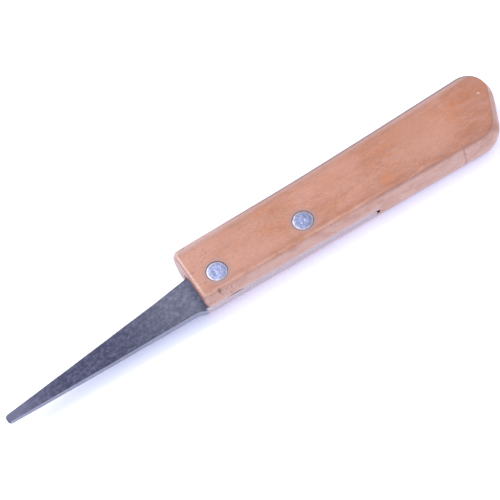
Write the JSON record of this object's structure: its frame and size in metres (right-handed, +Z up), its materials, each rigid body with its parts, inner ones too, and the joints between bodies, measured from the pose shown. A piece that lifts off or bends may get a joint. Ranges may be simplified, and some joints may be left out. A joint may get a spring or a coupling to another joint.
{
  "type": "hoof knife",
  "caption": "Farrier's hoof knife: short tapered steel blade with a half tang set in a kerf in a wooden handle, held by flat-headed rivets.",
  "frame": {"origin": "under the middle of the whole knife, on the surface it lies on", "axes": "+X from the blade's tip to the handle's butt, +Y to the cutting edge's side, -Y to the spine's side, +Z up through the handle's thickness, with the knife lying on its broad face"},
  "size_m": [0.2012, 0.0293, 0.012],
  "materials": {
    "blade_steel": "dark forged faces with a lighter ground spine",
    "handle_wood": "sanded, oiled, lightly worn",
    "rivet_metal": "hammered flat, fine scratches"
  },
  "bodies": {
    "root": {"blade": "blade_steel", "handle": "handle_wood", "front_rivet_shell": "rivet_metal", "front_rivet_pin": "rivet_metal", "rear_rivet_shell": "rivet_metal", "rear_rivet_pin": "rivet_metal"}
  },
  "joints": []
}
